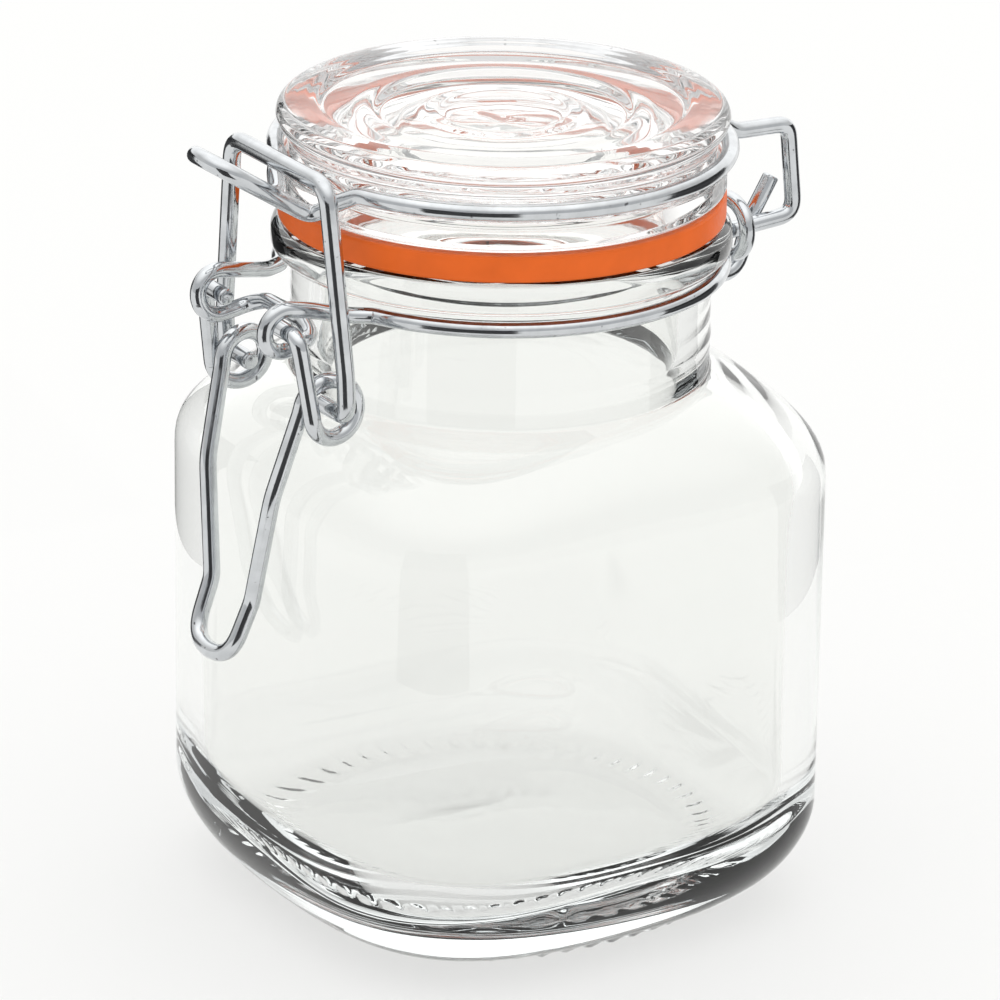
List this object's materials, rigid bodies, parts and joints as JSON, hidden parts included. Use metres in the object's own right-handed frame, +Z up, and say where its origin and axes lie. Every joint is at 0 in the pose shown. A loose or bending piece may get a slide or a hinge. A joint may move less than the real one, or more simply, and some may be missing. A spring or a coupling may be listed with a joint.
{
  "type": "lidded glass canister",
  "caption": "Small square clear glass canister with a round glass lid on a rubber ring, held by a bent-wire hinge and over-centre clasp.",
  "frame": {"origin": "on the jar's axis at the plane the base stands on", "axes": "+Z up along the jar's axis, -Y towards the clasp, +Y towards the hinge, +X to the right of the clasp seen from behind"},
  "size_m": [0.058, 0.0718, 0.084],
  "materials": {
    "clear_glass": "clear pressed glass, glossy",
    "plated_wire": "bright zinc-nickel plating with fine drawing marks",
    "orange_rubber": "smooth satin rubber"
  },
  "bodies": {
    "jar": {"jar": "clear_glass", "neck_wire": "plated_wire"},
    "lid": {"lid_glass": "clear_glass", "gasket": "orange_rubber", "lid_wire": "plated_wire"},
    "lever": {"clasp_lever": "plated_wire"},
    "bail": {"clasp_bail": "plated_wire"}
  },
  "joints": [
    {"name": "lid_hinge", "type": "hinge", "parent": "jar", "child": "lid", "pos_m": [0, 0.0281, 0.0629], "axis": [-1, 0, 0], "range_deg": [0, 105]},
    {"name": "lever_pivot", "type": "hinge", "parent": "jar", "child": "lever", "pos_m": [0, -0.029, 0.0665], "axis": [-1, 0, 0], "range_deg": [0, 110]},
    {"name": "bail_pivot", "type": "hinge", "parent": "lever", "child": "bail", "pos_m": [0, -0.025, 0.0584], "axis": [1, 0, 0], "range_deg": [0, 71]}
  ],
  "couplings": [
    {"joint": "bail_pivot", "follows": "lever_pivot", "ratio": 0.64}
  ]
}
